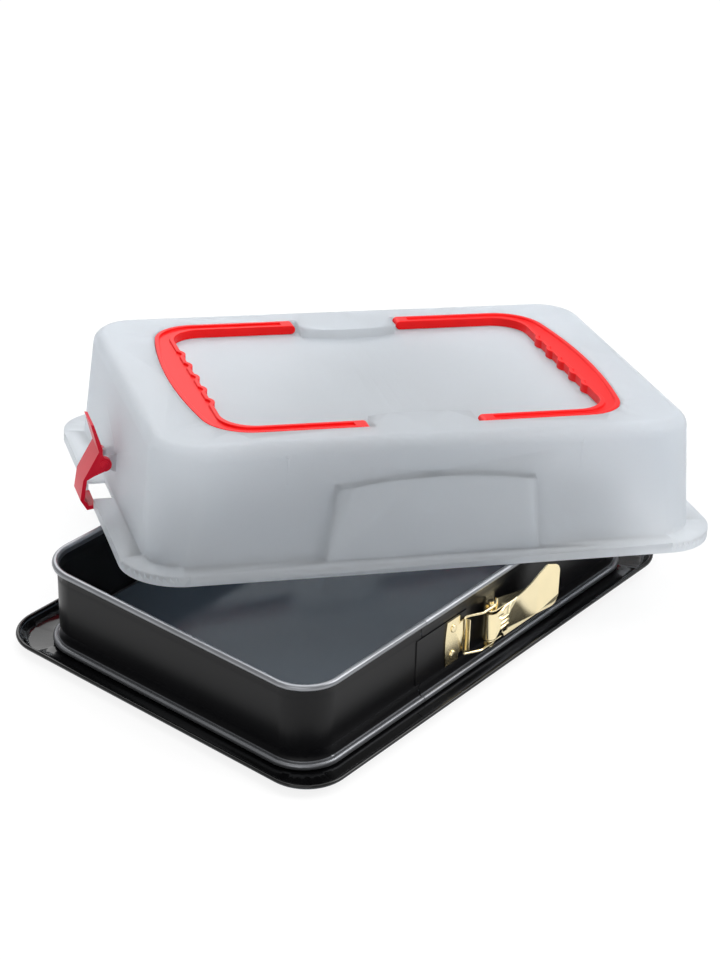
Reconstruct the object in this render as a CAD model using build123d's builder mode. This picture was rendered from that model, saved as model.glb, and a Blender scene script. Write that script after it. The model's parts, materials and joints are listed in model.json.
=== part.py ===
from build123d import *
import os
from math import radians, sin

# Rectangular springform cake pan with its carrying lid laid askew across the rim.
# Millimetres. Z is up, X runs along the long sides and the latch is on the -Y side.
# The origin is the middle of the baking floor, on its upper face.

# Serving tray: pressed steel sheet with a raised floor, a drip gutter and a rolled lip
tray_length = 420.0
tray_depth = 296.0
tray_corner = 32.0
tray_sheet = 0.8
floor_rise = 6.0
floor_edge_radius = 1.2
lip_run = 9.0
lip_rise = 7.4
lip_bead_radius = 1.6
bead_sides = 12

# Springform ring: one strip with a rolled bead at each edge
ring_length = 380.0
ring_depth = 256.0
ring_corner = 26.0
ring_sheet = 0.6
ring_bead_radius = 2.5
rim_height = 58.5
upper_band = 9.5
lower_band = 14.0
joggle_out = 0.8
joggle_slope = 1.4
foot_out = 1.6
seat_gap = 0.3

# Overlap of the strip's two ends, at the latch
seam_x = -68.0
seam_gap = 0.8
tongue_gap = 0.2
tongue_weld = 6.0
tongue_reach = 49.5
tongue_margin = 1.5

# Toggle latch: catch plate with a hook flange, wire bail, stamped lever, riveted bracket
latch_height = 27.7
catch_left = -41.5
catch_width = 14.0
catch_height = 36.0
catch_bow = 1.6
catch_sheet = 1.0
catch_step = 6.5
hook_height = 26.0
hook_stand = 4.6
wire_radius = 1.0
wire_sides = 8
wire_gap = 0.6
leg_gap = 0.42
bail_half_width = 15.5
bail_knee = -11.0
bail_corner = 3.0
bail_knee_radius = 5.0
bail_end_radius = 1.6
pivot_x = 1.0
pivot_standoff = 7.1
toggle_run = 9.5
toggle_drop = 1.9
pin_radius = 1.2
pin_head_radius = 2.1
pin_head = 0.8
run_gap = 0.05
bracket_sheet = 1.0
bracket_reach = 12.0
bracket_setback = 3.0
bracket_rivet_offset = 7.5
ear_gap = 0.4
ear_radius = 3.6
lever_sheet = 1.0
lever_half_width = 13.0
lever_nose_radius = 5.8
lever_nose_half = 10.5
lever_length = 72.0
lever_waist = 36.0
lever_flare = 3.0
lever_tip_top = 25.0
lever_tip_corner = 8.0
lever_tip_slant = 13.0
lever_tip_drop = 5.0
lever_neck = 6.0
lever_shoulder = 4.0
lever_sweep = 3.2
lever_bend = 14.0
flange_reach = 34.0
flange_tail = 2.5
flange_radius = 4.4
flange_depth = 2.4
slot_length = 6.0
slot_width = 1.6
upper_slot_x = 6.0
upper_slot_rise = 6.5
lower_slot_x = 12.0
lower_slot_drop = 8.5
lever_rib_count = 3
lever_rib_length = 10.0
lever_rib_x = 11.0
lever_rib_rise = 2.5
lever_rib_pitch = 3.6
lever_rib_proud = 0.4
lever_bite = 0.2
rivet_radius = 1.5
rivet_head_radius = 2.9
rivet_head = 1.1
rivet_chamfer = 0.7
shank_bite = 0.1
catch_rivet_pitch = 21.0
bracket_rivet_pitch = 12.0

# Lid: one thin moulding with a skirt, drafted walls and a sunk panel in its roof
skirt_length = 437.0
skirt_depth = 314.0
skirt_corner = 41.5
skirt_height = 7.6
shelf_width = 16.0
lid_wall = 1.6
wall_lean_x = 5.2
wall_lean_y = 1.9
roof_corner = 34.4
lid_height = 92.7
roof_edge_radius = 11.0
panel_drop = 7.2
handle_play = 0.7
tab_half_width = 38.0
tab_depth = 20.0
tab_bow = 5.5
bulge_half_base = 78.0
bulge_half_top = 72.0
bulge_shoulder = 60.0
bulge_crown = 66.5
bulge_stand = 6.0
bulge_sink = 2.1
bulge_draft = 12.0
rib_x = 107.0
rib_width = 1.6
rib_length = 20.0
rib_proud = 0.7
rib_top = 83.7

# How the lid lies on the rim: turned about Z, tipped about its own axes, then lifted
lid_turn = -34.92
lid_tip_x = -6.15
lid_tip_y = 3.51
lid_rest_x = 73.46
lid_rest_y = 32.64
lid_rest_z = 48.1

# Carrying handles: U shaped channel bars that fold flat into the sunk panel
handle_half_width = 113.0
handle_reach = 162.5
handle_bow = 13.0
handle_corner = 34.0
arm_width = 12.0
handle_height = 7.0
hinge_x = 44.5
grip_width = 21.0
grip_inner_corner = 24.0
finger_pitch = 25.0
finger_count = 5
finger_radius = 9.5
finger_proud = 2.6
channel_rail = 3.0
channel_depth = 1.8
hinge_pin_radius = 2.0
hinge_pin_length = 3.2
handle_rest_gap = 0.3
nose_radius = 3.36

# Side clips: levers that hook under the tray's rolled lip
clip_width = 28.0
clip_ear = 5.0
clip_pivot_out = 210.3
clip_pivot_height = 32.9
clip_barrel_radius = 5.2
clip_pin_radius = 2.2
clip_thumb_out = 219.8
clip_thumb_height = 64.6
clip_waist_out = 213.4
clip_waist_height = 43.0
clip_knee_out = 224.6
clip_knee_height = 21.5
clip_foot_out = 226.6
clip_foot_height = 6.0
clip_hook_out = 221.5
clip_hook_height = -0.6
clip_lip_out = 217.4
clip_lip_height = 1.2
clip_thickness = 2.6
lug_width = 3.4
lug_gap = 0.4
lug_radius = 3.9
notch_half_width = 15.6
notch_margin = 2.0
lug_room = 0.8
lug_room_width = 12.0
lug_room_height = 18.0
lug_room_lift = 3.0
lug_foot = 2.2
lug_foot_low = 8.6
lug_foot_high = 6.2


# Places that follow from the sizes above
table_z = -floor_rise - tray_sheet
gutter_top = -floor_rise
half_length = ring_length / 2 - 2 * ring_bead_radius
half_depth = ring_depth / 2 - 2 * ring_bead_radius
low_bead_z = gutter_top + seat_gap + ring_bead_radius
band_out = joggle_out + ring_sheet
wall_face = half_depth + band_out
tongue_face = wall_face + tongue_gap + ring_sheet
catch_face = tongue_face + catch_sheet
leg_out = catch_face + leg_gap + wire_radius
catch_right = catch_left + catch_width
flange_x = catch_right + catch_step
leg_x = flange_x - catch_sheet - wire_gap - wire_radius
pin_out = wall_face + pivot_standoff
toggle_x = pivot_x + toggle_run
toggle_out = pin_out - toggle_drop
panel_z = lid_height - panel_drop
handle_bottom = panel_z + handle_rest_gap
hinge_z = handle_bottom + handle_height / 2
arm_end = hinge_x - handle_height / 2
pocket_half_width = handle_half_width + handle_play
pocket_reach = handle_reach + handle_play
foot_length = skirt_length - 2 * shelf_width
foot_depth = skirt_depth - 2 * shelf_width
foot_corner = skirt_corner - shelf_width
roof_length = foot_length - 2 * wall_lean_x
roof_depth = foot_depth - 2 * wall_lean_y
bulge_out = foot_depth / 2 + bulge_stand
bulge_root = roof_depth / 2 - bulge_sink
lug_inner = clip_width / 2 - clip_ear - lug_gap - lug_width


def long_side(side, distance):
    """Plane parallel to a long side, facing outwards: side is -1 at the front."""
    return Plane((0, side * distance, 0), x_dir=(-side, 0, 0), z_dir=(0, side, 0))


def level(height):
    """Horizontal plane at a height."""
    return Plane.XY.offset(height)


# Tray
lip_length = tray_length - 2 * lip_run
lip_depth = tray_depth - 2 * lip_run
lip_corner = tray_corner - lip_run
floor_length = 2 * (half_length - seat_gap)
floor_depth = 2 * (half_depth - seat_gap)
floor_corner = ring_corner - seat_gap
lip_bead_out = lip_run - lip_bead_radius
under_length = floor_length - 2 * tray_sheet
under_depth = floor_depth - 2 * tray_sheet

with BuildLine() as lip_path:
    FilletPolyline(
        (0, -lip_depth / 2, table_z),
        (lip_length / 2, -lip_depth / 2, table_z),
        (lip_length / 2, lip_depth / 2, table_z),
        (0, lip_depth / 2, table_z),
        radius=lip_corner,
    )

with BuildPart() as base_tray:
    with BuildSketch(Plane((0, -lip_depth / 2, table_z), x_dir=(0, -1, 0), z_dir=(-1, 0, 0))):
        with BuildLine():
            Polyline(
                (-2, 0),
                (0, 0),
                (lip_bead_out, lip_rise - 0.5 * lip_bead_radius),
                (lip_bead_out, lip_rise + 0.5 * lip_bead_radius),
                (-0.5 * tray_sheet, tray_sheet),
                (-2, tray_sheet),
                close=True,
            )
        make_face()
        with Locations((lip_bead_out, lip_rise)):
            RegularPolygon(lip_bead_radius, bead_sides)
    sweep(path=lip_path.wire())
    mirror(about=Plane.YZ)
    with BuildSketch(level(table_z)):
        RectangleRounded(lip_length, lip_depth, lip_corner)
    extrude(amount=tray_sheet)
    with BuildSketch(level(table_z)):
        RectangleRounded(floor_length, floor_depth, floor_corner)
    extrude(amount=floor_rise + tray_sheet)
    baking_floor = base_tray.faces().filter_by(Axis.Z).sort_by(SortBy.AREA)[-2:].sort_by(Axis.Z)[-1]
    fillet(baking_floor.edges(), radius=floor_edge_radius)
    with BuildSketch(level(table_z)):
        RectangleRounded(under_length, under_depth, floor_corner - tray_sheet)
    extrude(amount=floor_rise, mode=Mode.SUBTRACT)

# Ring: the strip starts at one side of the seam and runs round to the other
with BuildLine() as ring_path:
    FilletPolyline(
        (seam_x + seam_gap / 2, -half_depth),
        (half_length, -half_depth),
        (half_length, half_depth),
        (-half_length, half_depth),
        (-half_length, -half_depth),
        (seam_x - seam_gap / 2, -half_depth),
        radius=ring_corner,
    )

top_joggle = rim_height - upper_band
low_joggle = gutter_top + lower_band
strip_inner = [
    (0, rim_height),
    (0, top_joggle),
    (joggle_out, top_joggle - joggle_slope),
    (joggle_out, low_joggle),
    (0, low_joggle - joggle_slope),
    (0, low_bead_z + 2.4 * ring_bead_radius),
    (foot_out + 0.4 * ring_bead_radius, low_bead_z),
]
strip_outer = [(out + ring_sheet, height) for out, height in reversed(strip_inner)]
tongue_top = top_joggle - joggle_slope - tongue_margin
tongue_low = low_joggle + tongue_margin
tongue_middle = (tongue_top + tongue_low) / 2
tongue_length = tongue_weld + tongue_reach
catch_rivet_x = catch_left + catch_width / 2
bracket_rivet_x = pivot_x + bracket_rivet_offset
catch_rivet_spots = [(catch_rivet_x, latch_height + side * catch_rivet_pitch / 2) for side in (-1, 1)]
bracket_rivet_spots = [(bracket_rivet_x, latch_height + side * bracket_rivet_pitch / 2) for side in (-1, 1)]

with BuildPart() as springform_ring:
    with BuildSketch(Plane((seam_x + seam_gap / 2, -half_depth, 0), x_dir=(0, -1, 0), z_dir=(-1, 0, 0))):
        with BuildLine():
            Polyline(*strip_inner, *strip_outer, close=True)
        make_face()
        with Locations((ring_bead_radius, rim_height), (foot_out + ring_bead_radius, low_bead_z)):
            RegularPolygon(ring_bead_radius, bead_sides)
    sweep(path=ring_path.wire())
    # the left end carries on past the seam as a flat tongue over the right end
    with BuildSketch(long_side(-1, wall_face + tongue_gap)):
        with Locations((seam_x - tongue_weld + tongue_length / 2, tongue_middle)):
            Rectangle(tongue_length, tongue_top - tongue_low)
        with Locations(*catch_rivet_spots):
            Circle(rivet_radius + run_gap, mode=Mode.SUBTRACT)
    extrude(amount=ring_sheet)
    with BuildSketch(long_side(-1, wall_face - ring_sheet / 2)):
        with Locations((seam_x - seam_gap / 2 - tongue_weld / 2, tongue_middle)):
            Rectangle(tongue_weld - seam_gap, tongue_top - tongue_low)
    extrude(amount=ring_sheet)
    with BuildSketch(long_side(-1, wall_face - 2 * ring_sheet)):
        with Locations(*bracket_rivet_spots):
            Circle(rivet_radius + run_gap)
    extrude(amount=3 * ring_sheet, mode=Mode.SUBTRACT)

# Catch plate: bowed left edge, stepped right edge that turns out into a hook flange
with BuildPart() as catch_plate:
    with BuildSketch(long_side(-1, tongue_face)):
        with BuildLine():
            low = latch_height - catch_height / 2
            high = latch_height + catch_height / 2
            ThreePointArc((catch_left, low), (catch_left - catch_bow, latch_height), (catch_left, high))
            Line((catch_left, high), (catch_right, high))
            Line((catch_right, high), (catch_right, low))
            Line((catch_right, low), (catch_left, low))
        make_face()
        with Locations(((catch_right + flange_x) / 2 - 1, latch_height)):
            Rectangle(catch_step + 2, hook_height)
        with Locations(*catch_rivet_spots):
            Circle(rivet_radius + run_gap, mode=Mode.SUBTRACT)
    extrude(amount=catch_sheet)
    with BuildSketch(long_side(-1, tongue_face)):
        with Locations((flange_x - catch_sheet / 2, latch_height)):
            Rectangle(catch_sheet, hook_height)
    extrude(amount=catch_sheet + hook_stand)
    hook_corners = catch_plate.edges().filter_by(Axis.X).group_by(Axis.Y)[0]
    fillet(hook_corners, radius=0.4 * catch_sheet)

# Rivets: turned heads over plain shanks
with BuildPart() as catch_rivets:
    with BuildSketch(long_side(-1, tongue_face - ring_sheet)):
        with Locations(*catch_rivet_spots):
            Circle(rivet_radius)
    extrude(amount=ring_sheet + catch_sheet + shank_bite)
    with BuildSketch(long_side(-1, catch_face)):
        with Locations(*catch_rivet_spots):
            Circle(rivet_head_radius)
    extrude(amount=rivet_head)
    chamfer(catch_rivets.faces().sort_by(Axis.Y)[:2].edges(), length=rivet_chamfer)

bracket_face = wall_face + bracket_sheet
with BuildPart() as bracket_rivets:
    with BuildSketch(long_side(-1, wall_face - ring_sheet)):
        with Locations(*bracket_rivet_spots):
            Circle(rivet_radius)
    extrude(amount=ring_sheet + bracket_sheet + shank_bite)
    with BuildSketch(long_side(-1, bracket_face)):
        with Locations(*bracket_rivet_spots):
            Circle(rivet_head_radius)
    extrude(amount=rivet_head)
    chamfer(bracket_rivets.faces().sort_by(Axis.Y)[:2].edges(), length=rivet_chamfer)

# Bracket: a pressed channel whose two ears carry the lever's pin
ear_inner = bail_half_width + wire_radius + ear_gap
ear_outer = ear_inner + bracket_sheet
bracket_left = pivot_x + bracket_setback
bracket_right = pivot_x + bracket_reach

with BuildPart() as lever_bracket:
    with BuildSketch(long_side(-1, wall_face)):
        with Locations(((bracket_left + bracket_right) / 2, latch_height)):
            Rectangle(bracket_right - bracket_left, 2 * ear_outer)
        with Locations(*bracket_rivet_spots):
            Circle(rivet_radius + run_gap, mode=Mode.SUBTRACT)
    extrude(amount=bracket_sheet)
    for ear_base in (latch_height + ear_inner, latch_height - ear_outer):
        with BuildSketch(level(ear_base)):
            with BuildLine():
                Polyline(
                    (bracket_left, -wall_face),
                    (pivot_x - ear_radius, -pin_out),
                    (pivot_x + ear_radius, -pin_out),
                    (bracket_right, -bracket_face),
                    (bracket_right, -wall_face),
                    close=True,
                )
            make_face()
            with Locations((pivot_x, -pin_out)):
                Circle(ear_radius)
                Circle(pin_radius + run_gap, mode=Mode.SUBTRACT)
        extrude(amount=bracket_sheet)

with BuildPart() as lever_pin:
    with BuildSketch(level(latch_height - ear_outer)):
        with Locations((pivot_x, -pin_out)):
            Circle(pin_radius)
    extrude(amount=2 * ear_outer)
    for head_base in (latch_height + ear_outer, latch_height - ear_outer - pin_head):
        with BuildSketch(level(head_base)):
            with Locations((pivot_x, -pin_out)):
                Circle(pin_head_radius)
        extrude(amount=pin_head)

# Lever: a stamped plate curled round the pin, with two side flanges
lever_out = pin_out + lever_nose_radius
lever_in = lever_out - lever_sheet
nose_inner = lever_nose_radius - lever_sheet
flange_in = toggle_out - flange_depth
nose_diagonal = lever_nose_radius * sin(radians(45))
inner_diagonal = nose_inner * sin(radians(45))

with BuildPart() as latch_lever:
    with BuildSketch(level(latch_height - lever_half_width)):
        with BuildLine():
            bend = lever_waist + lever_bend
            ThreePointArc(
                (pivot_x - lever_nose_radius, -pin_out),
                (pivot_x - nose_diagonal, -pin_out - nose_diagonal),
                (pivot_x, -lever_out),
            )
            Line((pivot_x, -lever_out), (bend, -lever_out))
            Line((bend, -lever_out), (lever_length, -lever_out - lever_flare))
            Line((lever_length, -lever_out - lever_flare), (lever_length, -lever_in - lever_flare))
            Line((lever_length, -lever_in - lever_flare), (bend, -lever_in))
            Line((bend, -lever_in), (pivot_x, -lever_in))
            ThreePointArc(
                (pivot_x, -lever_in),
                (pivot_x - inner_diagonal, -pin_out - inner_diagonal),
                (pivot_x - nose_inner, -pin_out),
            )
            Line((pivot_x - nose_inner, -pin_out), (pivot_x - lever_nose_radius, -pin_out))
        make_face()
    extrude(amount=lever_half_width + lever_tip_top)
    with BuildSketch(long_side(-1, 0)) as lever_front:
        with BuildLine():
            nose = pivot_x - lever_nose_radius
            low = latch_height - lever_half_width
            high = latch_height + lever_half_width
            tip_high = latch_height + lever_tip_top
            tip_left = lever_length - lever_tip_slant
            neck = pivot_x + lever_neck
            shoulder = neck + lever_shoulder
            Line((nose, latch_height - lever_nose_half), (neck, latch_height - lever_nose_half))
            Line((neck, latch_height - lever_nose_half), (shoulder, low))
            Line((shoulder, low), (lever_length, low))
            Line((lever_length, low), (lever_length, tip_high - lever_tip_drop))
            Line((lever_length, tip_high - lever_tip_drop), (tip_left, tip_high))
            ThreePointArc((tip_left, tip_high), (lever_waist + 5, high + lever_sweep), (shoulder + 6, high))
            Line((shoulder + 6, high), (shoulder, high))
            Line((shoulder, high), (neck, latch_height + lever_nose_half))
            Line((neck, latch_height + lever_nose_half), (nose, latch_height + lever_nose_half))
            Line((nose, latch_height + lever_nose_half), (nose, latch_height - lever_nose_half))
        make_face()
        tip_corners = lever_front.vertices().group_by(Axis.X)[-1]
        fillet(tip_corners, radius=lever_tip_corner)
        upper_slot = (upper_slot_x, latch_height + upper_slot_rise)
        lower_slot = (lower_slot_x, latch_height - lower_slot_drop)
        with Locations(upper_slot, lower_slot):
            SlotOverall(slot_length, slot_width, mode=Mode.SUBTRACT)
    extrude(amount=lever_out + 2 * lever_flare, mode=Mode.INTERSECT)
    for flange_base in (latch_height + lever_half_width - lever_sheet, latch_height - lever_half_width):
        with BuildSketch(level(flange_base)):
            with BuildLine():
                Polyline(
                    (pivot_x, -lever_in),
                    (pivot_x, -pin_out + flange_radius),
                    (toggle_x, -flange_in),
                    (toggle_x + 3, -flange_in),
                    (flange_reach, -lever_in + flange_tail),
                    (flange_reach + 6, -lever_in),
                    (flange_reach + 6, -lever_out + lever_bite),
                    (neck + 4, -lever_out + lever_bite),
                    (neck + 1, -lever_in),
                    close=True,
                )
            make_face()
            with Locations((pivot_x, -pin_out)):
                Circle(flange_radius)
                Circle(pin_radius + run_gap, mode=Mode.SUBTRACT)
            with Locations((toggle_x, -toggle_out)):
                Circle(wire_radius + run_gap, mode=Mode.SUBTRACT)
        extrude(amount=lever_sheet)
    with BuildSketch(long_side(-1, lever_out - lever_bite)):
        for rib in range(lever_rib_count):
            with Locations((lever_rib_x, latch_height + lever_rib_rise - lever_rib_pitch * rib)):
                SlotOverall(lever_rib_length, slot_width)
    extrude(amount=lever_bite + lever_rib_proud)

# Bail: one bent wire whose ends turn into the lever's flanges
arm_out = pin_out + pin_radius + ear_gap + wire_radius
wire_end = lever_half_width - 2 * lever_sheet
lower_arm = [
    (toggle_x, -toggle_out, latch_height - wire_end),
    (toggle_x, -toggle_out, latch_height - bail_half_width),
    (pivot_x + 2, -arm_out, latch_height - bail_half_width),
    (bail_knee, -arm_out, latch_height - bail_half_width),
    (leg_x, -leg_out, latch_height - bail_half_width),
]
upper_arm = [(x, y, 2 * latch_height - z) for x, y, z in reversed(lower_arm)]
arm_bends = [bail_end_radius, bail_corner, bail_knee_radius, bail_end_radius]
wire_bends = arm_bends + arm_bends[::-1]

with BuildLine() as bail_path:
    FilletPolyline(*lower_arm, *upper_arm, radius=wire_bends)

with BuildPart() as latch_bail:
    with BuildSketch(level(latch_height - wire_end)):
        with Locations((toggle_x, -toggle_out)):
            RegularPolygon(wire_radius, wire_sides)
    sweep(path=bail_path.wire())

# Outline of the lid's sunk panel, which the folded handles fill to its edge
with BuildSketch() as panel_outline:
    with BuildLine():
        square_end = pocket_reach - handle_bow
        Line((0, -pocket_half_width), (square_end, -pocket_half_width))
        ThreePointArc((square_end, -pocket_half_width), (pocket_reach, 0), (square_end, pocket_half_width))
        Line((square_end, pocket_half_width), (0, pocket_half_width))
        Line((0, pocket_half_width), (0, -pocket_half_width))
    make_face()
    far_corners = panel_outline.vertices().filter_by(lambda corner: corner.X > hinge_x)
    fillet(far_corners, radius=handle_corner)
    mirror(about=Plane.YZ)
    with BuildLine():
        tab_edge = pocket_half_width - tab_depth
        Line((-tab_half_width, -pocket_half_width - 1), (tab_half_width, -pocket_half_width - 1))
        Line((tab_half_width, -pocket_half_width - 1), (tab_half_width, -tab_edge))
        ThreePointArc((tab_half_width, -tab_edge), (0, -tab_edge + tab_bow), (-tab_half_width, -tab_edge))
        Line((-tab_half_width, -tab_edge), (-tab_half_width, -pocket_half_width - 1))
    tab_face = make_face(mode=Mode.SUBTRACT)
    mirror(tab_face, about=Plane.XZ, mode=Mode.SUBTRACT)

with BuildSketch() as panel_wall:
    offset(panel_outline.sketch, amount=lid_wall, kind=Kind.INTERSECTION)

# Space under the lid
with BuildPart() as lid_hollow:
    with BuildSketch(level(-1)):
        RectangleRounded(skirt_length - 2 * lid_wall, skirt_depth - 2 * lid_wall, skirt_corner - lid_wall)
    extrude(amount=1 + skirt_height - lid_wall)
    with BuildSketch(level(skirt_height - lid_wall)):
        RectangleRounded(foot_length - 2 * lid_wall, foot_depth - 2 * lid_wall, foot_corner - lid_wall)
    with BuildSketch(level(lid_height - lid_wall)):
        RectangleRounded(roof_length - 2 * lid_wall, roof_depth - 2 * lid_wall, roof_corner - lid_wall)
    loft()
    fillet(lid_hollow.faces().sort_by(Axis.Z)[-1].edges(), radius=roof_edge_radius - lid_wall)
    for side in (-1, 1):
        with BuildSketch(long_side(side, bulge_out - lid_wall)):
            with BuildLine():
                base = bulge_half_base - lid_wall
                top = bulge_half_top - lid_wall
                shoulder = bulge_shoulder - lid_wall
                Line((-base, -1), (base, -1))
                Line((base, -1), (top, shoulder))
                ThreePointArc((top, shoulder), (0, bulge_crown - lid_wall), (-top, shoulder))
                Line((-top, shoulder), (-base, -1))
            make_face()
        extrude(amount=bulge_root - bulge_out, taper=-bulge_draft)

# Lid
with BuildPart() as lid_shell:
    with BuildSketch():
        RectangleRounded(skirt_length, skirt_depth, skirt_corner)
    extrude(amount=skirt_height)
    with BuildSketch(level(skirt_height)):
        RectangleRounded(foot_length, foot_depth, foot_corner)
    with BuildSketch(level(lid_height)):
        RectangleRounded(roof_length, roof_depth, roof_corner)
    loft()
    fillet(lid_shell.faces().sort_by(Axis.Z)[-1].edges(), radius=roof_edge_radius)
    for side in (-1, 1):
        with BuildSketch(long_side(side, bulge_out)):
            with BuildLine():
                base_z = skirt_height - lid_wall
                Line((-bulge_half_base, base_z), (bulge_half_base, base_z))
                Line((bulge_half_base, base_z), (bulge_half_top, bulge_shoulder))
                ThreePointArc(
                    (bulge_half_top, bulge_shoulder),
                    (0, bulge_crown),
                    (-bulge_half_top, bulge_shoulder),
                )
                Line((-bulge_half_top, bulge_shoulder), (-bulge_half_base, base_z))
            make_face()
        extrude(amount=bulge_root - bulge_out, taper=-bulge_draft)
        with BuildSketch(long_side(side, roof_depth / 2 + rib_proud)):
            with Locations((-rib_x, rib_top - rib_length / 2)):
                SlotOverall(rib_length, rib_width, rotation=90)
            with Locations((rib_x, rib_top - rib_length / 2)):
                SlotOverall(rib_length, rib_width, rotation=90)
        extrude(amount=-lid_wall)
    add(lid_hollow.part, mode=Mode.SUBTRACT)
    # floor and upright wall of the sunk panel, then the panel itself is cut open from above
    with BuildSketch(level(panel_z - lid_wall)):
        add(panel_wall.sketch)
    extrude(amount=panel_drop + lid_wall / 2)
    with BuildSketch(level(panel_z)):
        add(panel_outline.sketch)
    extrude(amount=panel_drop + 1, mode=Mode.SUBTRACT)
    # holes for the handles' hinge pins, on both long sides of the panel
    with BuildSketch(Plane.XZ):
        with Locations((-hinge_x, hinge_z), (hinge_x, hinge_z)):
            Circle(hinge_pin_radius + run_gap)
    extrude(amount=pocket_half_width + lid_wall + 1, both=True, mode=Mode.SUBTRACT)
    for end in (-1, 1):
        # notch in the skirt for the clip's leg
        with BuildSketch(level(-1)):
            with Locations((end * (foot_length / 2 + notch_margin + shelf_width / 2), 0)):
                Rectangle(shelf_width, 2 * notch_half_width)
        extrude(amount=skirt_height + 2, mode=Mode.SUBTRACT)
        # two lugs with stub pins that the clip snaps over
        for side in (-1, 1):
            with BuildSketch(Plane.XZ.offset(-side * lug_inner)):
                with BuildLine():
                    wall_x = foot_length / 2 - lug_foot
                    Polyline(
                        (end * wall_x, clip_pivot_height - lug_foot_low),
                        (end * clip_pivot_out, clip_pivot_height - lug_radius),
                        (end * clip_pivot_out, clip_pivot_height + lug_radius),
                        (end * wall_x, clip_pivot_height + lug_foot_high),
                        close=True,
                    )
                make_face()
                with Locations((end * clip_pivot_out, clip_pivot_height)):
                    Circle(lug_radius)
            extrude(amount=-side * lug_width)
            with BuildSketch(Plane.XZ.offset(-side * (lug_inner + lug_width))):
                with Locations((end * clip_pivot_out, clip_pivot_height)):
                    Circle(clip_pin_radius)
            extrude(amount=-side * clip_ear)

# Handles: drawn for the +X end, then mirrored for the other
def bar_outline(inset):
    """Plan of the U shaped bar with its bowed grip, drawn in from its edges by inset."""
    reach = handle_reach - inset
    half_width = handle_half_width - inset
    grip_face = handle_reach - grip_width + inset
    gap_half_width = handle_half_width - arm_width + inset
    gap_length = grip_face - arm_end + grip_inner_corner
    with BuildSketch() as outline:
        with BuildLine():
            square_end = reach - handle_bow
            Line((arm_end, -half_width), (square_end, -half_width))
            ThreePointArc((square_end, -half_width), (reach, 0), (square_end, half_width))
            Line((square_end, half_width), (arm_end, half_width))
            Line((arm_end, half_width), (arm_end, -half_width))
        make_face()
        far_corners = outline.vertices().filter_by(lambda corner: corner.X > hinge_x)
        fillet(far_corners, radius=handle_corner - inset)
        with BuildSketch(mode=Mode.SUBTRACT) as gap:
            with Locations((grip_face - gap_length / 2, 0)):
                Rectangle(gap_length, 2 * gap_half_width)
            fillet(gap.vertices().group_by(Axis.X)[-1], radius=grip_inner_corner)
            with Locations((handle_reach - grip_width + finger_radius - finger_proud, 0)):
                with GridLocations(1, finger_pitch, 1, finger_count):
                    Circle(finger_radius - inset, mode=Mode.SUBTRACT)
    return outline.sketch


handle_outline = bar_outline(0)
handle_inset = bar_outline(channel_rail)

with BuildSketch() as handle_channel:
    add(handle_inset)
    with Locations((arm_end, 0)):
        Rectangle(3 * handle_height, 3 * handle_half_width, mode=Mode.SUBTRACT)

with BuildPart() as handle_right:
    with BuildSketch(level(handle_bottom)):
        add(handle_outline)
    extrude(amount=handle_height)
    cross_edges = handle_right.edges().filter_by(Axis.Y)
    nose_edges = cross_edges.filter_by(lambda edge: edge.center().X < hinge_x)
    fillet(nose_edges, radius=nose_radius)
    with BuildSketch(level(handle_bottom + handle_height)):
        add(handle_channel.sketch)
    extrude(amount=-channel_depth, mode=Mode.SUBTRACT)
    for side in (-1, 1):
        with BuildSketch(long_side(side, handle_half_width - arm_width / 2)):
            with Locations((-side * hinge_x, hinge_z)):
                Circle(hinge_pin_radius)
        extrude(amount=arm_width / 2 + hinge_pin_length)

with BuildPart() as handle_left:
    add(handle_right.part)
    mirror(about=Plane.YZ, mode=Mode.REPLACE)

# Side clips: drawn for the +X end, then mirrored
with BuildPart() as clip_right:
    with BuildSketch(Plane.XZ) as clip_side:
        with BuildLine():
            back = [
                (clip_thumb_out + 0.4 * clip_thickness, clip_thumb_height),
                (clip_waist_out + 0.5 * clip_thickness, clip_waist_height),
                (clip_knee_out + 0.5 * clip_thickness, clip_knee_height),
                (clip_foot_out + 0.5 * clip_thickness, clip_foot_height),
                (clip_hook_out + 0.5 * clip_thickness, clip_hook_height - 0.5 * clip_thickness),
                (clip_lip_out, clip_lip_height - 0.8 * clip_thickness),
            ]
            front = [
                (clip_lip_out - 0.3 * clip_thickness, clip_lip_height + 0.4 * clip_thickness),
                (clip_hook_out, clip_hook_height + 0.8 * clip_thickness),
                (clip_foot_out - 0.7 * clip_thickness, clip_foot_height),
                (clip_knee_out - 0.6 * clip_thickness, clip_knee_height),
                (clip_pivot_out + 2, clip_pivot_height - clip_barrel_radius),
                (clip_waist_out - 0.6 * clip_thickness, clip_waist_height + 2),
                (clip_thumb_out - 0.5 * clip_thickness, clip_thumb_height - 0.5),
            ]
            Polyline(*back, *front, close=True)
        make_face()
        with Locations((clip_pivot_out, clip_pivot_height)):
            Circle(clip_barrel_radius)
        with BuildLine():
            Polyline(
                (clip_pivot_out, clip_pivot_height + clip_barrel_radius),
                (clip_waist_out, clip_waist_height),
                (clip_knee_out, clip_knee_height),
                (clip_pivot_out, clip_pivot_height - clip_barrel_radius),
                close=True,
            )
        make_face()
    extrude(amount=clip_width / 2, both=True)
    # room between the ears for the lid's lugs, over the whole swing
    with BuildSketch(Plane.XZ):
        with Locations((clip_pivot_out, clip_pivot_height)):
            Circle(lug_radius + lug_room)
        with Locations((clip_pivot_out - lug_room_width / 2, clip_pivot_height + lug_room_lift)):
            Rectangle(lug_room_width, lug_room_height)
    extrude(amount=clip_width / 2 - clip_ear, both=True, mode=Mode.SUBTRACT)
    with BuildSketch(Plane.XZ):
        with Locations((clip_pivot_out, clip_pivot_height)):
            Circle(clip_pin_radius + run_gap)
    extrude(amount=clip_width, both=True, mode=Mode.SUBTRACT)

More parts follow.
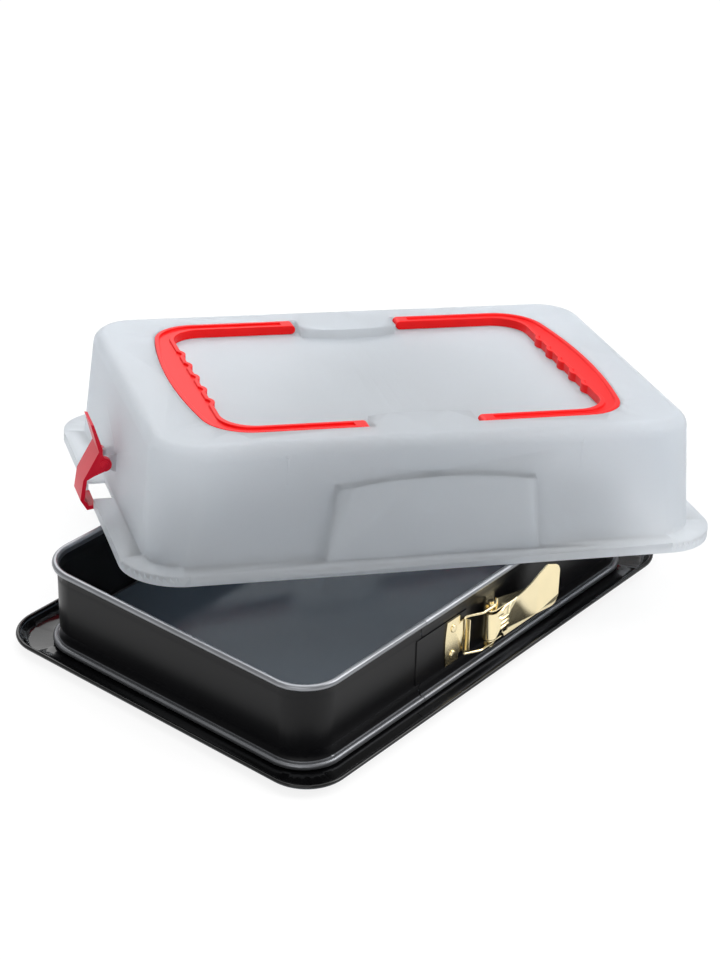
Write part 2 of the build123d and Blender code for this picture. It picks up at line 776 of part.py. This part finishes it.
with BuildPart() as clip_left:
    add(clip_right.part)
    mirror(about=Plane.YZ, mode=Mode.REPLACE)

# The lid and all it carries lie askew on the rim
lid_rest = Location((lid_rest_x, lid_rest_y, lid_rest_z), (0, 0, lid_turn))
lid_rest = lid_rest * Location((0, 0, 0), (0, lid_tip_y, 0)) * Location((0, 0, 0), (lid_tip_x, 0, 0))
for piece in (lid_shell, handle_left, handle_right, clip_left, clip_right):
    piece.part.locate(lid_rest)

pieces = {
    "base_tray": base_tray,
    "springform_ring": springform_ring,
    "catch_plate": catch_plate,
    "catch_rivets": catch_rivets,
    "bracket_rivets": bracket_rivets,
    "lever_bracket": lever_bracket,
    "lever_pin": lever_pin,
    "latch_lever": latch_lever,
    "latch_bail": latch_bail,
    "lid_shell": lid_shell,
    "handle_left": handle_left,
    "handle_right": handle_right,
    "clip_left": clip_left,
    "clip_right": clip_right,
}
os.makedirs("parts", exist_ok=True)
for name, piece in pieces.items():
    piece.part.label = name
    export_step(piece.part, f"parts/{name}.step")
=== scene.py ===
"""Looks for a rectangular springform pan with a carrying lid laid askew on its rim."""

import json
from math import cos, pi, radians, sin

import bpy
from mathutils import Matrix, Vector


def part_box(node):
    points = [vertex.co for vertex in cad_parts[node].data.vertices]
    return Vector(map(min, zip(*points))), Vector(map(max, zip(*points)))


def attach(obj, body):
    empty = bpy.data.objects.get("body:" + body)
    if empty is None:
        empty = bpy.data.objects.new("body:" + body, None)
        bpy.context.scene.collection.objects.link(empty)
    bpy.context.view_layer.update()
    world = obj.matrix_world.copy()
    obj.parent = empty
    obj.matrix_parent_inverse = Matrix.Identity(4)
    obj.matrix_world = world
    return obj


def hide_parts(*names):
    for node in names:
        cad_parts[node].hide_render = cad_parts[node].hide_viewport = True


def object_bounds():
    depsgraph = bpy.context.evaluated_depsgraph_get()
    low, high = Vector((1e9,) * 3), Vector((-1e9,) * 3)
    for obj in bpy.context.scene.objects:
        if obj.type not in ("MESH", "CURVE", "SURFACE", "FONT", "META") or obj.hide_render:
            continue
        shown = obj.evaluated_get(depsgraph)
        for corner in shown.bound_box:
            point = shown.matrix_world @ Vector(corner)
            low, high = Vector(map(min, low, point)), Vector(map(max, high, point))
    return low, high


bl_info = {
    "name": "Springform pan with lid",
    "version": (1, 0, 0),
    "blender": (4, 5, 0),
    "location": "View3D > Sidebar > Pan",
    "description": "Dresses the packed pan, its latch, lid, handles and clips, and lights them",
    "category": "Object",
}

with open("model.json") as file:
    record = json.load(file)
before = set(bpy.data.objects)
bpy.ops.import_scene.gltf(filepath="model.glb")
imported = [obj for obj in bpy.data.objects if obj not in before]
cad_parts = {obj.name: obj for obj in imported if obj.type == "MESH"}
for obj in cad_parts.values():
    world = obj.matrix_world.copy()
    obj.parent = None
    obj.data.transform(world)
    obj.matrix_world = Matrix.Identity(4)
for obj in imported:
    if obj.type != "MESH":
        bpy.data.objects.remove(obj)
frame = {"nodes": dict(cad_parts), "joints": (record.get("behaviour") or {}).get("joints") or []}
CAD_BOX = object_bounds()
MM = 0.001
IMAGE_WIDTH = 720
SENSOR_WIDTH = 36.0
WHITE = (1, 1, 1, 1)

# Angles in degrees and lengths in metres for merging and smoothing a copy
MERGE_DISTANCE = 2e-6
FLAT_ANGLE = 0.3
PRESSED_ANGLE = 30
MOULDED_ANGLE = 35
ROUND_ANGLE = 40
WIRE_ANGLE = 50
FACE_WEIGHT = 90

# Rivets and the clips' bosses, in millimetres
ROUND_SIDES = 48
RIVET_HEAD = 1.1
RIVET_SHANK = 1.5
RIVET_DOME = 0.8
CLIP_HALF_WIDTH = 14.0
BOSS_RADIUS = 3.6
BOSS_HEIGHT = 0.7
BOSS_SUNK = 0.3
BOSS_STEP = 1.3
BOSS_EDGE = 0.2
KNOB_HEIGHT = 0.5

# Heights that the ring's beads and the baking floor take up, in millimetres; the beads carry a
# painted sheen
UPPER_BEAD = 5.2
LOWER_BEAD = 5.0
BAND_EDGE = 0.3
FLOOR_BAND = 0.4
# The lower bead gets only this share of the painted sheen, as painted shade for a bead less lit
# than the upper one
LOWER_BEAD_SHEEN_SHARE = 0.75

# Light: shares of 1, and the distances in metres over which the shadow on the floor fades out
PAPER = 0xF4F4F4
PAPER_SHARE = 0.8
PAPER_GLOW = 1.04
SHADOW_NEAR = 0.45
SHADOW_FAR = 1.1
ROOM_LIGHT = 0.55
MILK_SHARE = 0.25
FLOOR_GAP = 0.2
LAMP_AIM = (0.05, 0, 0.05)

# Each lamp's name, place and size in metres, and power in watts
LAMPS = (
    ("key", (1.3, -1.5, 1.9), 1.6, 34),
    ("fill", (-1.9, -1.0, 1.2), 1.8, 10),
    ("back", (1.0, 1.7, 1.5), 1.8, 19),
    ("top", (0.3, 0.3, 2.3), 2.0, 20),
)


# Sizes and colours that a user may change


def length_property(name, millimetres, description):
    """A length in metres, given in millimetres."""
    return bpy.props.FloatProperty(
        name=name, description=description, default=millimetres * MM, unit="LENGTH", precision=5
    )


def angle_property(name, degrees, description):
    """An angle in radians, given in degrees."""
    return bpy.props.FloatProperty(
        name=name, description=description, default=radians(degrees), subtype="ANGLE"
    )


def colour_property(name, hexadecimal, description):
    """A colour kept as linear values, given as an sRGB hex number."""
    return bpy.props.FloatVectorProperty(
        name=name, description=description, default=linear(hexadecimal), size=4, min=0.0, max=1.0,
        subtype="COLOR",
    )


def linear(hexadecimal):
    """Linear RGBA of an sRGB hex colour such as 0xC8102E."""
    channels = [(hexadecimal >> shift & 255) / 255 for shift in (16, 8, 0)]
    return [c / 12.92 if c <= 0.04045 else ((c + 0.055) / 1.055) ** 2.4 for c in channels] + [1.0]


class PanColours(bpy.types.PropertyGroup):
    """Colours of the pan's finishes."""

    enamel: colour_property("Enamel", 0x060607, "Black enamel of the tray")
    floor: colour_property("Baking floor", 0x3B434B, "Grey non-stick coat of the baking floor")
    ring: colour_property("Ring", 0x0D0D0F, "Non-stick coat of the ring")
    # Painted sheen: a lighter grey for the light that the ring's rolled beads reflect
    bead_sheen: colour_property("Bead", 0x8E9094, "Painted sheen along the ring's rolled beads")
    brass: colour_property("Brass", 0xF7E8BE, "Brass plating of the latch")
    lid: colour_property("Lid", 0xF2F6FA, "Frosted polypropylene of the lid")
    handle: colour_property("Handle", 0xE8090B, "Red polypropylene of the handles")
    clip: colour_property("Clip", 0xCC0C2A, "Crimson polypropylene of the clips")


class StageSizes(bpy.types.PropertyGroup):
    """The floor, the camera and where it stands."""

    floor_size: length_property("Floor size", 12000, "Width and depth of the floor")
    focal: bpy.props.FloatProperty(
        name="Focal length", description="Focal length in pixels of the picture", default=2348.85,
        min=1.0,
    )
    azimuth: angle_property("Azimuth", -51.05, "Turn of the camera about Z from the front")
    elevation: angle_property("Elevation", 29.51, "Height of the camera as an angle")
    roll: angle_property("Roll", 1.55, "Turn of the camera about its own view")
    distance: length_property("Distance", 1740.85, "Distance of the camera from the pan")
    shift_right: length_property("Shift right", 11.28, "How far the camera slides to its right")
    shift_up: length_property("Shift up", 87.59, "How far the camera slides up")


# Materials


def add_node(tree, kind, links=(), **settings):
    """Adds a node with its settings and its incoming links as (input, source node, output).

    A setting whose name starts with in_ sets the input of that name or number.
    """
    node = tree.nodes.new(kind)
    for name, value in settings.items():
        if name.startswith("in_"):
            key = name[3:]
            node.inputs[int(key) if key.isdigit() else key.replace("_", " ")].default_value = value
        else:
            setattr(node, name, value)
    for name, source, output in links:
        tree.links.new(source.outputs[output], node.inputs[name])
    return node


def start_material(name):
    """A material with only its output and a shader node, which are returned with the tree."""
    material = bpy.data.materials.new(name)
    material.use_nodes = True
    tree = material.node_tree
    tree.nodes.clear()
    shader = add_node(tree, "ShaderNodeBsdfPrincipled")
    output = add_node(tree, "ShaderNodeOutputMaterial", [("Surface", shader, "BSDF")])
    return material, tree, shader, output


def fine_grain(tree, size_mm, strength, height_mm):
    """A bump of noise whose grains are size_mm wide, for the shader's normal."""
    place = add_node(tree, "ShaderNodeTexCoord")
    noise = add_node(
        tree, "ShaderNodeTexNoise", [("Vector", place, "Object")],
        in_Scale=1 / (size_mm * MM), in_Detail=4.0,
    )
    return add_node(
        tree, "ShaderNodeBump", [("Height", noise, "Fac")],
        in_Strength=strength, in_Distance=height_mm * MM,
    )


def height_band(tree, low, high):
    """1 between two heights in metres and 0 outside them, with soft edges."""
    soft = BAND_EDGE * MM
    place = add_node(tree, "ShaderNodeTexCoord")
    parts = add_node(tree, "ShaderNodeSeparateXYZ", [("Vector", place, "Object")])
    above = add_node(
        tree, "ShaderNodeMapRange", [("Value", parts, "Z")],
        in_From_Min=low - soft, in_From_Max=low + soft,
    )
    below = add_node(
        tree, "ShaderNodeMapRange", [("Value", parts, "Z")],
        in_From_Min=high + soft, in_From_Max=high - soft,
    )
    both = add_node(tree, "ShaderNodeMath", operation="MULTIPLY")
    tree.links.new(above.outputs[0], both.inputs[0])
    tree.links.new(below.outputs[0], both.inputs[1])
    return both


def varied(tree, colour, size_mm, amount):
    """A colour that grows a little lighter and darker in soft clouds size_mm wide."""
    place = add_node(tree, "ShaderNodeTexCoord")
    noise = add_node(
        tree, "ShaderNodeTexNoise", [("Vector", place, "Object")], in_Scale=1 / (size_mm * MM)
    )
    ramp = add_node(tree, "ShaderNodeValToRGB", [("Fac", noise, "Fac")])
    ramp.color_ramp.elements[0].position = 0.3
    ramp.color_ramp.elements[1].position = 0.7
    ramp.color_ramp.elements[0].color = [c * (1 - amount) for c in colour[:3]] + [1]
    ramp.color_ramp.elements[1].color = [min(1, c * (1 + amount)) for c in colour[:3]] + [1]
    return ramp


def enamel_material(colours):
    """Vitreous enamel fired on steel: glassy black, with the faint waviness of a fired coat."""
    material, tree, shader, _ = start_material("black_vitreous_enamel")
    dark = varied(tree, colours.enamel, size_mm=60, amount=0.25)
    floor = varied(tree, colours.floor, size_mm=90, amount=0.06)
    on_floor = height_band(tree, -FLOOR_BAND * MM, FLOOR_BAND * MM)
    mix = add_node(tree, "ShaderNodeMix", data_type="RGBA")
    tree.links.new(on_floor.outputs[0], mix.inputs["Factor"])
    tree.links.new(dark.outputs["Color"], mix.inputs["A"])
    tree.links.new(floor.outputs["Color"], mix.inputs["B"])
    tree.links.new(mix.outputs["Result"], shader.inputs["Base Color"])
    waves = fine_grain(tree, size_mm=9, strength=0.08, height_mm=0.1)
    tree.links.new(waves.outputs["Normal"], shader.inputs["Normal"])
    shader.inputs["Roughness"].default_value = 0.1
    shader.inputs["Specular IOR Level"].default_value = 0.4
    return material


def ring_material(colours):
    """Silicone non-stick coat on rolled steel: satin, grainy, with a painted sheen on its beads."""
    material, tree, shader, _ = start_material("nonstick_coated_steel")
    low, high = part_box("springform_ring")
    wall = varied(tree, colours.ring, size_mm=50, amount=0.1)
    # The beads' lighter grey is a painted sheen, standing for the light the rolled beads reflect
    bead_sheen = varied(tree, colours.bead_sheen, size_mm=25, amount=0.08)
    upper = height_band(tree, high.z - UPPER_BEAD * MM, high.z + MM)
    lower = height_band(tree, low.z - MM, low.z + LOWER_BEAD * MM)
    # The lower bead gets less of the painted sheen: painted shade, as it is less lit than the upper
    # bead
    lower_sheen = add_node(tree, "ShaderNodeMath", operation="MULTIPLY", in_1=LOWER_BEAD_SHEEN_SHARE)
    tree.links.new(lower.outputs[0], lower_sheen.inputs[0])
    both = add_node(tree, "ShaderNodeMath", operation="MAXIMUM")
    tree.links.new(upper.outputs[0], both.inputs[0])
    tree.links.new(lower_sheen.outputs[0], both.inputs[1])
    mix = add_node(tree, "ShaderNodeMix", data_type="RGBA")
    tree.links.new(both.outputs[0], mix.inputs["Factor"])
    tree.links.new(wall.outputs["Color"], mix.inputs["A"])
    tree.links.new(bead_sheen.outputs["Color"], mix.inputs["B"])
    tree.links.new(mix.outputs["Result"], shader.inputs["Base Color"])
    tree.links.new(both.outputs[0], shader.inputs["Metallic"])
    grain = fine_grain(tree, size_mm=0.9, strength=0.12, height_mm=0.05)
    tree.links.new(grain.outputs["Normal"], shader.inputs["Normal"])
    shader.inputs["Roughness"].default_value = 0.32
    shader.inputs["Specular IOR Level"].default_value = 0.22
    return material


def brass_material(colours):
    """Brass plating, polished on stamped steel: warm and bright, with a faint waviness in it."""
    material, tree, shader, _ = start_material("polished_brass_plate")
    plate = varied(tree, colours.brass, size_mm=14, amount=0.02)
    waves = fine_grain(tree, size_mm=6, strength=0.04, height_mm=0.05)
    tree.links.new(plate.outputs["Color"], shader.inputs["Base Color"])
    tree.links.new(waves.outputs["Normal"], shader.inputs["Normal"])
    shader.inputs["Metallic"].default_value = 1.0
    shader.inputs["Roughness"].default_value = 0.24
    return material


def lid_material(colours):
    """Polypropylene moulded in an eroded tool: milky and frosted, letting blurred light through."""
    material, tree, shader, output = start_material("frosted_polypropylene")
    body = varied(tree, colours.lid, size_mm=120, amount=0.015)
    grain = fine_grain(tree, size_mm=0.8, strength=0.1, height_mm=0.03)
    tree.links.new(body.outputs["Color"], shader.inputs["Base Color"])
    tree.links.new(grain.outputs["Normal"], shader.inputs["Normal"])
    shader.inputs["Roughness"].default_value = 0.5
    shader.inputs["IOR"].default_value = 1.49
    shader.inputs["Transmission Weight"].default_value = 0.75
    milk = add_node(
        tree, "ShaderNodeBsdfTranslucent", [("Color", body, "Color"), ("Normal", grain, "Normal")]
    )
    mix = add_node(tree, "ShaderNodeMixShader", [(1, shader, 0), (2, milk, 0)], in_0=MILK_SHARE)
    tree.links.new(mix.outputs[0], output.inputs["Surface"])
    return material


def plastic_material(name, colour, roughness):
    """Polypropylene in a solid colour: glossy, with the soft ripple of a moulded face."""
    material, tree, shader, _ = start_material(name)
    body = varied(tree, colour, size_mm=30, amount=0.05)
    ripple = fine_grain(tree, size_mm=5, strength=0.06, height_mm=0.08)
    tree.links.new(body.outputs["Color"], shader.inputs["Base Color"])
    tree.links.new(ripple.outputs["Normal"], shader.inputs["Normal"])
    shader.inputs["Roughness"].default_value = roughness
    shader.inputs["IOR"].default_value = 1.49
    shader.inputs["Specular IOR Level"].default_value = 0.25
    return material


# Pieces


def deselect_all():
    """Leaves nothing selected, so that the next operator acts on its own piece only."""
    bpy.ops.object.select_all(action="DESELECT")


def apply_modifier(piece, name, kind, **settings):
    """Adds a modifier with its settings and applies it."""
    modifier = piece.modifiers.new(name, kind)
    for key, value in settings.items():
        setattr(modifier, key, value)
    bpy.ops.object.modifier_apply(modifier=modifier.name)


def dressed_copy(node, body, material, angle=MOULDED_ANGLE, soft_edge=0.0, even=True):
    """A merged copy that stands for a CAD node, shaded smooth where faces meet below the angle.

    soft_edge rounds its sharp edges by that many millimetres. With even, large flat faces keep
    their own direction, so that the corners beside them don't shade them.
    """
    deselect_all()
    piece = bpy.data.objects.new("dressed_" + node, frame["nodes"][node].data.copy())
    bpy.context.scene.collection.objects.link(piece)
    bpy.context.view_layer.objects.active = piece
    piece.select_set(True)
    bpy.ops.object.mode_set(mode="EDIT")
    bpy.ops.mesh.select_all(action="SELECT")
    bpy.ops.mesh.remove_doubles(threshold=MERGE_DISTANCE)
    if soft_edge:
        bpy.ops.mesh.dissolve_limited(angle_limit=radians(FLAT_ANGLE))
    bpy.ops.object.mode_set(mode="OBJECT")
    if soft_edge:
        apply_modifier(
            piece, "moulded_edges", "BEVEL", width=soft_edge * MM, segments=2, limit_method="ANGLE",
            angle_limit=radians(angle), miter_outer="MITER_ARC",
        )
    bpy.ops.object.shade_smooth_by_angle(angle=radians(angle))
    if even:
        apply_modifier(
            piece, "flat_faces_stay_flat", "WEIGHTED_NORMAL", keep_sharp=True, weight=FACE_WEIGHT
        )
    piece.data.materials.clear()
    piece.data.materials.append(material)
    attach(piece, body)
    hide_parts(node)


def select_faces(piece, chosen):
    """In edit mode, selects only the faces for which chosen(face centre) is true."""
    bpy.ops.mesh.select_all(action="DESELECT")
    bpy.ops.object.mode_set(mode="OBJECT")
    for face in piece.data.polygons:
        face.select = chosen(piece.matrix_world @ face.center)
    bpy.ops.object.mode_set(mode="EDIT")


def domed_rivets(node, body, material):
    """Two round headed rivets: one at the lower end of the node's box, its copy at the upper."""
    low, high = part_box(node)
    radius = (high.x - low.x) / 2
    head = RIVET_HEAD * MM
    shank_length = high.y - low.y - head
    middle = (low.x + high.x) / 2
    deselect_all()
    bpy.ops.mesh.primitive_cylinder_add(
        vertices=ROUND_SIDES, radius=radius, depth=head, rotation=(pi / 2, 0, 0),
        location=(middle, low.y + head / 2, low.z + radius),
    )
    piece = bpy.context.active_object
    piece.name = "domed_" + node
    bpy.ops.object.mode_set(mode="EDIT")
    bpy.ops.mesh.select_mode(type="FACE")
    crown = low.y + 0.1 * head
    select_faces(piece, lambda centre: centre.y < crown)
    bpy.ops.mesh.bevel(offset=RIVET_DOME * head, segments=6, affect="EDGES")
    seat = low.y + 0.99 * head
    select_faces(piece, lambda centre: centre.y > seat)
    bpy.ops.mesh.inset(thickness=radius - RIVET_SHANK * MM)
    bpy.ops.mesh.extrude_region_move(TRANSFORM_OT_translate={"value": (0, shank_length, 0)})
    bpy.ops.object.mode_set(mode="OBJECT")
    bpy.ops.object.shade_smooth_by_angle(angle=radians(ROUND_ANGLE))
    bpy.ops.object.duplicate()
    bpy.ops.transform.translate(value=(0, 0, high.z - low.z - 2 * radius))
    piece.select_set(True)
    bpy.context.view_layer.objects.active = piece
    bpy.ops.object.join()
    bpy.ops.object.transform_apply(location=True, rotation=True, scale=True)
    piece.data.materials.append(material)
    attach(piece, body)
    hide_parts(node)


def pivot_bosses(side, material):
    """Round bosses moulded on a clip's two cheeks, over the ends of its pivot."""
    joint = next(each for each in frame["joints"] if each["name"] == "clip_" + side)
    axis = Vector(joint["axis"])
    for name, outward in (("first", axis), ("second", -axis)):
        cheek = Vector(joint["pos_m"]) + outward * CLIP_HALF_WIDTH * MM
        knob = outward * KNOB_HEIGHT * MM
        deselect_all()
        bpy.ops.mesh.primitive_cylinder_add(
            vertices=ROUND_SIDES, radius=BOSS_RADIUS * MM, depth=(BOSS_HEIGHT + BOSS_SUNK) * MM,
            location=cheek + outward * (BOSS_HEIGHT - BOSS_SUNK) / 2 * MM,
            rotation=outward.to_track_quat("Z", "Y").to_euler(),
        )
        piece = bpy.context.active_object
        piece.name = "clip_boss_" + side + "_" + name
        bpy.ops.object.mode_set(mode="EDIT")
        bpy.ops.mesh.select_mode(type="FACE")
        select_faces(piece, lambda centre: (centre - cheek).dot(outward) > 0.5 * BOSS_HEIGHT * MM)
        bpy.ops.mesh.inset(thickness=BOSS_STEP * MM)
        bpy.ops.mesh.extrude_region_move(TRANSFORM_OT_translate={"value": knob})
        bpy.ops.object.mode_set(mode="OBJECT")
        apply_modifier(
            piece, "moulded_edges", "BEVEL", width=BOSS_EDGE * MM, segments=2, limit_method="ANGLE",
            angle_limit=radians(ROUND_ANGLE),
        )
        bpy.ops.object.shade_smooth_by_angle(angle=radians(ROUND_ANGLE))
        bpy.ops.object.transform_apply(location=True, rotation=True, scale=True)
        piece.data.materials.append(material)
        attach(piece, side + "_clip")


class PAN_OT_tray(bpy.types.Operator):
    """Enamel the serving tray"""

    bl_idname = "pan.tray"
    bl_label = "Tray"

    def execute(self, context):
        material = enamel_material(context.scene.pan_colours)
        dressed_copy("base_tray", "tray", material)
        return {"FINISHED"}


class PAN_OT_ring(bpy.types.Operator):
    """Coat the springform ring"""

    bl_idname = "pan.ring"
    bl_label = "Ring"

    def execute(self, context):
        material = ring_material(context.scene.pan_colours)
        dressed_copy("springform_ring", "ring", material)
        return {"FINISHED"}


class PAN_OT_latch(bpy.types.Operator):
    """Plate the latch's plates, rivets, lever and bail"""

    bl_idname = "pan.latch"
    bl_label = "Latch"

    def execute(self, context):
        material = brass_material(context.scene.pan_colours)
        members = {
            "catch_plate": "ring",
            "lever_bracket": "ring",
            "lever_pin": "ring",
            "latch_lever": "lever",
            "latch_bail": "bail",
        }
        for node, body in members.items():
            angle = WIRE_ANGLE if node == "latch_bail" else PRESSED_ANGLE
            dressed_copy(node, body, material, angle=angle, even=False)
        for node in ("catch_rivets", "bracket_rivets"):
            domed_rivets(node, "ring", material)
        return {"FINISHED"}


class PAN_OT_lid(bpy.types.Operator):
    """Frost the lid"""

    bl_idname = "pan.lid"
    bl_label = "Lid"

    def execute(self, context):
        material = lid_material(context.scene.pan_colours)
        dressed_copy("lid_shell", "lid", material)
        return {"FINISHED"}


class PAN_OT_handles(bpy.types.Operator):
    """Colour the two carrying handles"""

    bl_idname = "pan.handles"
    bl_label = "Handles"

    def execute(self, context):
        colour = context.scene.pan_colours.handle
        material = plastic_material("red_polypropylene", colour, roughness=0.38)
        for side in ("left", "right"):
            body = side + "_handle"
            dressed_copy("handle_" + side, body, material, soft_edge=0.7)
        return {"FINISHED"}


class PAN_OT_clips(bpy.types.Operator):
    """Colour the two side clips"""

    bl_idname = "pan.clips"
    bl_label = "Clips"

    def execute(self, context):
        colour = context.scene.pan_colours.clip
        material = plastic_material("crimson_polypropylene", colour, roughness=0.36)
        for side in ("left", "right"):
            body = side + "_clip"
            dressed_copy("clip_" + side, body, material, soft_edge=0.5)
            pivot_bosses(side, material)
        return {"FINISHED"}


class PAN_OT_stage(bpy.types.Operator):
    """Lay the floor, hang the lamps and set up the camera"""

    bl_idname = "pan.stage"
    bl_label = "Stage"

    def execute(self, context):
        stage = context.scene.pan_stage
        self.floor(stage)
        self.lamps()
        self.world(context.scene)
        self.camera(context.scene, stage)
        context.scene.view_settings.view_transform = "Standard"
        return {"FINISHED"}

    def floor(self, stage):
        """White paper that shows as pure white, apart from a faint shadow near the pan."""
        deselect_all()
        under = CAD_BOX[0][2] - FLOOR_GAP * MM
        bpy.ops.mesh.primitive_plane_add(size=stage.floor_size, location=(0, 0, under))
        floor = bpy.context.active_object
        floor.name = "floor"
        material, tree, shader, output = start_material("white_paper_sweep")
        shader.inputs["Base Color"].default_value = linear(PAPER)
        shader.inputs["Roughness"].default_value = 0.9
        # white to the camera, in reflections and through the lid, and plain paper to other rays
        light_path = add_node(tree, "ShaderNodeLightPath")
        seen = add_node(tree, "ShaderNodeMath", operation="MAXIMUM")
        tree.links.new(light_path.outputs["Is Glossy Ray"], seen.inputs[0])
        tree.links.new(light_path.outputs["Is Transmission Ray"], seen.inputs[1])
        also_seen = add_node(tree, "ShaderNodeMath", [(1, seen, 0)], operation="MAXIMUM")
        tree.links.new(light_path.outputs["Is Camera Ray"], also_seen.inputs[0])
        place = add_node(tree, "ShaderNodeTexCoord")
        reach = add_node(tree, "ShaderNodeVectorMath", [(0, place, "Object")], operation="LENGTH")
        fade = add_node(
            tree, "ShaderNodeMapRange", [("Value", reach, "Value")], in_From_Min=SHADOW_NEAR,
            in_From_Max=SHADOW_FAR, in_To_Min=PAPER_SHARE,
        )
        share = add_node(
            tree, "ShaderNodeMath", [(0, also_seen, 0), (1, fade, 0)], operation="MULTIPLY"
        )
        glow = add_node(tree, "ShaderNodeEmission", in_Strength=PAPER_GLOW)
        mix = add_node(tree, "ShaderNodeMixShader")
        tree.links.new(share.outputs[0], mix.inputs[0])
        tree.links.new(shader.outputs[0], mix.inputs[1])
        tree.links.new(glow.outputs[0], mix.inputs[2])
        tree.links.new(mix.outputs[0], output.inputs["Surface"])
        floor.data.materials.append(material)

    def lamps(self):
        """Large soft lamps, all aimed at the middle of the pan."""
        for name, place, size, power in LAMPS:
            lamp = bpy.data.objects.new(name, bpy.data.lights.new(name, "AREA"))
            lamp.data.size = size
            lamp.data.energy = power
            lamp.location = place
            beam = Vector(LAMP_AIM) - Vector(place)
            lamp.rotation_euler = beam.to_track_quat("-Z", "Y").to_euler()
            bpy.context.scene.collection.objects.link(lamp)

    def world(self, scene):
        """A white room, dimmer for its light than it looks to the camera."""
        world = bpy.data.worlds.new("studio")
        world.use_nodes = True
        tree = world.node_tree
        tree.nodes.clear()
        light_path = add_node(tree, "ShaderNodeLightPath")
        white = add_node(tree, "ShaderNodeBackground", in_Color=WHITE, in_Strength=1.0)
        room = add_node(tree, "ShaderNodeBackground", in_Color=WHITE, in_Strength=ROOM_LIGHT)
        mix = add_node(tree, "ShaderNodeMixShader")
        tree.links.new(light_path.outputs["Is Camera Ray"], mix.inputs[0])
        tree.links.new(room.outputs[0], mix.inputs[1])
        tree.links.new(white.outputs[0], mix.inputs[2])
        add_node(tree, "ShaderNodeOutputWorld", [("Surface", mix, "Shader")])
        scene.world = world

    def camera(self, scene, stage):
        """The camera at the viewing angle of the picture."""
        across = stage.azimuth
        up_angle = stage.elevation
        back = Vector((sin(across) * cos(up_angle), -cos(across) * cos(up_angle), sin(up_angle)))
        right = Vector((0, 0, 1)).cross(back).normalized()
        up = back.cross(right)
        right, up = (
            cos(stage.roll) * right + sin(stage.roll) * up,
            cos(stage.roll) * up - sin(stage.roll) * right,
        )
        camera = bpy.data.objects.new("camera", bpy.data.cameras.new("camera"))
        camera.data.sensor_fit = "HORIZONTAL"
        camera.data.sensor_width = SENSOR_WIDTH
        camera.data.lens = stage.focal * SENSOR_WIDTH / IMAGE_WIDTH
        place = back * stage.distance + right * stage.shift_right + up * stage.shift_up
        place.z += CAD_BOX[0][2]
        turned = Matrix((right, up, back)).transposed().to_4x4()
        camera.matrix_world = Matrix.Translation(place) @ turned
        scene.collection.objects.link(camera)
        scene.camera = camera


class PAN_PT_panel(bpy.types.Panel):
    """Lists the pan's operators and colours"""

    bl_idname = "PAN_PT_panel"
    bl_label = "Springform pan"
    bl_space_type = "VIEW_3D"
    bl_region_type = "UI"
    bl_category = "Pan"

    def draw(self, context):
        for operator in OPERATORS:
            self.layout.operator(operator.bl_idname)
        for group in (context.scene.pan_colours, context.scene.pan_stage):
            for name in group.__annotations__:
                self.layout.prop(group, name)


OPERATORS = (
    PAN_OT_tray,
    PAN_OT_ring,
    PAN_OT_latch,
    PAN_OT_lid,
    PAN_OT_handles,
    PAN_OT_clips,
    PAN_OT_stage,
)
CLASSES = (PanColours, StageSizes) + OPERATORS + (PAN_PT_panel,)


def register():
    for each in CLASSES:
        bpy.utils.register_class(each)
    bpy.types.Scene.pan_colours = bpy.props.PointerProperty(type=PanColours)
    bpy.types.Scene.pan_stage = bpy.props.PointerProperty(type=StageSizes)


def unregister():
    del bpy.types.Scene.pan_stage
    del bpy.types.Scene.pan_colours
    for each in reversed(CLASSES):
        bpy.utils.unregister_class(each)


def main():
    """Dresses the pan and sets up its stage."""
    register()
    bpy.ops.pan.tray()
    bpy.ops.pan.ring()
    bpy.ops.pan.latch()
    bpy.ops.pan.lid()
    bpy.ops.pan.handles()
    bpy.ops.pan.clips()
    bpy.ops.pan.stage()


if __name__ == "__main__":
    main()
